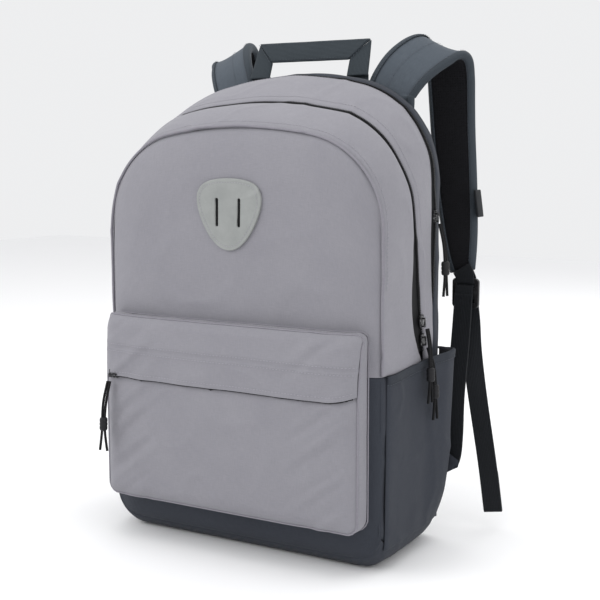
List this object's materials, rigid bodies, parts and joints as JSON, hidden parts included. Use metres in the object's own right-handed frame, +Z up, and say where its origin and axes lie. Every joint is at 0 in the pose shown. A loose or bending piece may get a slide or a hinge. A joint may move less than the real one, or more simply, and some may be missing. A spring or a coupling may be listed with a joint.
{
  "type": "daypack",
  "caption": "Daypack with a zipped arch mouth, laptop compartment, front pocket, two side pockets, carry handle and padded shoulder straps with adjusters.",
  "frame": {"origin": "centre of the base on the surface the pack stands on, midway between the front seam and the rear edge of the gussets", "axes": "+Z up to the carry handle, the front pocket faces -Y, the shoulder straps are on the +Y side, +X is to the right seen from the front"},
  "size_m": [0.3978, 0.2557, 0.5014],
  "materials": {
    "shell_light": "matte",
    "shell_dark": "matte",
    "strap_fabric": "matte",
    "elastic_binding": "matte",
    "air_mesh": "matte",
    "webbing": "matte",
    "zip_tape": "matte",
    "zip_metal": "satin",
    "cord": "matte",
    "patch_leather": "satin",
    "buckle_plastic": "satin",
    "foam": "matte",
    "lining": "matte"
  },
  "bodies": {
    "pack": {"base_panel": "shell_dark", "side_lower_left": "shell_dark", "side_lower_right": "shell_dark", "front_gusset_lower": "shell_light", "rear_gusset": "shell_light", "laptop_gusset": "shell_dark", "main_zip_body_half": "zip_tape", "laptop_zip": "zip_tape", "front_panel_lower": "shell_dark", "back_panel_cover": "air_mesh", "back_panel_foam": "foam", "compartment_divider": "foam", "laptop_sleeve": "lining", "back_pad_left": "air_mesh", "back_pad_right": "air_mesh", "front_pocket_gusset": "shell_light", "front_pocket_zip": "zip_tape", "front_pocket_panel": "shell_light", "front_pocket_upper_panel": "shell_light", "side_pocket_left": "shell_dark", "side_pocket_right": "shell_dark", "side_pocket_hem_left": "elastic_binding", "side_pocket_hem_right": "elastic_binding", "handle_anchors": "strap_fabric", "strap_anchor_left": "strap_fabric", "strap_anchor_right": "strap_fabric", "wing_left": "shell_dark", "wing_right": "shell_dark"},
    "front_lid": {"lid_gusset": "shell_light", "main_zip_lid_half": "zip_tape", "lid_panel": "shell_light", "lash_patch": "patch_leather"},
    "carry_handle": {"carry_handle_face": "strap_fabric", "carry_handle_backing": "strap_fabric"},
    "shoulder_strap_left": {"strap_pad_left": "strap_fabric", "strap_mesh_left": "air_mesh", "strap_keeper_left": "webbing", "strap_side_loop_left": "webbing", "load_webbing_left": "webbing"},
    "buckle_left": {"ladder_lock_left": "buckle_plastic"},
    "tail_left": {"strap_tail_left": "webbing"},
    "shoulder_strap_right": {"strap_pad_right": "strap_fabric", "strap_mesh_right": "air_mesh", "strap_keeper_right": "webbing", "strap_side_loop_right": "webbing", "load_webbing_right": "webbing"},
    "buckle_right": {"ladder_lock_right": "buckle_plastic"},
    "tail_right": {"strap_tail_right": "webbing"},
    "main_slider_lower": {"main_slider_lower": "zip_metal"},
    "main_slider_upper": {"main_slider_upper": "zip_metal"},
    "laptop_slider": {"laptop_slider": "zip_metal"},
    "pocket_slider": {"pocket_slider": "zip_metal"},
    "main_pull_lower": {"main_pull_lower_cord": "cord", "main_pull_lower_knot": "cord"},
    "main_pull_upper": {"main_pull_upper_cord": "cord", "main_pull_upper_knot": "cord"},
    "laptop_pull": {"laptop_pull_cord": "cord", "laptop_pull_knot": "cord"},
    "pocket_pull": {"pocket_pull_cord": "cord", "pocket_pull_knot": "cord"}
  },
  "joints": [
    {"name": "mouth_fold", "type": "hinge", "parent": "pack", "child": "front_lid", "pos_m": [0, -0.082, 0.24], "axis": [1, 0, 0], "range_deg": [0, 40]},
    {"name": "handle_swing", "type": "hinge", "parent": "pack", "child": "carry_handle", "pos_m": [0, 0.064, 0.4615], "axis": [1, 0, 0], "range_deg": [-60, 90]},
    {"name": "strap_lift_left", "type": "hinge", "parent": "pack", "child": "shoulder_strap_left", "pos_m": [-0.095, 0.07, 0.452], "axis": [1, 0, 0], "range_deg": [0, 12]},
    {"name": "buckle_tilt_left", "type": "hinge", "parent": "shoulder_strap_left", "child": "buckle_left", "pos_m": [-0.157, 0.113, 0.2537], "axis": [1, 0, 0], "range_deg": [0, 35]},
    {"name": "tail_swing_left", "type": "hinge", "parent": "buckle_left", "child": "tail_left", "pos_m": [-0.159, 0.1174, 0.232], "axis": [1, 0, 0], "range_deg": [-5, 30]},
    {"name": "strap_lift_right", "type": "hinge", "parent": "pack", "child": "shoulder_strap_right", "pos_m": [0.095, 0.07, 0.452], "axis": [1, 0, 0], "range_deg": [0, 12]},
    {"name": "buckle_tilt_right", "type": "hinge", "parent": "shoulder_strap_right", "child": "buckle_right", "pos_m": [0.157, 0.113, 0.2537], "axis": [1, 0, 0], "range_deg": [0, 35]},
    {"name": "tail_swing_right", "type": "hinge", "parent": "buckle_right", "child": "tail_right", "pos_m": [0.159, 0.1174, 0.232], "axis": [1, 0, 0], "range_deg": [-5, 30]},
    {"name": "main_zip_lower_run", "type": "slide", "parent": "pack", "child": "main_slider_lower", "axis": [0, -0.1459, 0.9893], "range_m": [0, 0.005]},
    {"name": "main_pull_lower_swing", "type": "hinge", "parent": "main_slider_lower", "child": "main_pull_lower", "pos_m": [0.16075, 0.01358, 0.2], "axis": [0, -1, 0], "range_deg": [0, 80]},
    {"name": "main_zip_upper_run", "type": "slide", "parent": "pack", "child": "main_slider_upper", "axis": [0, -0.1459, 0.9893], "range_m": [0, 0.095]},
    {"name": "main_pull_upper_swing", "type": "hinge", "parent": "main_slider_upper", "child": "main_pull_upper", "pos_m": [0.16084, 0.01092, 0.218], "axis": [0, -1, 0], "range_deg": [0, 80]},
    {"name": "laptop_zip_run", "type": "slide", "parent": "pack", "child": "laptop_slider", "axis": [0, 0, 1], "range_m": [-0.045, 0.02]},
    {"name": "laptop_pull_swing", "type": "hinge", "parent": "laptop_slider", "child": "laptop_pull", "pos_m": [0.1595, 0.04, 0.315], "axis": [0, -1, 0], "range_deg": [0, 80]},
    {"name": "pocket_zip_run", "type": "slide", "parent": "pack", "child": "pocket_slider", "axis": [1, 0, 0], "range_m": [0, 0.252]},
    {"name": "pocket_pull_swing", "type": "hinge", "parent": "pocket_slider", "child": "pocket_pull", "pos_m": [-0.13, -0.1025, 0.158], "axis": [-1, 0, 0], "range_deg": [0, 80]}
  ]
}
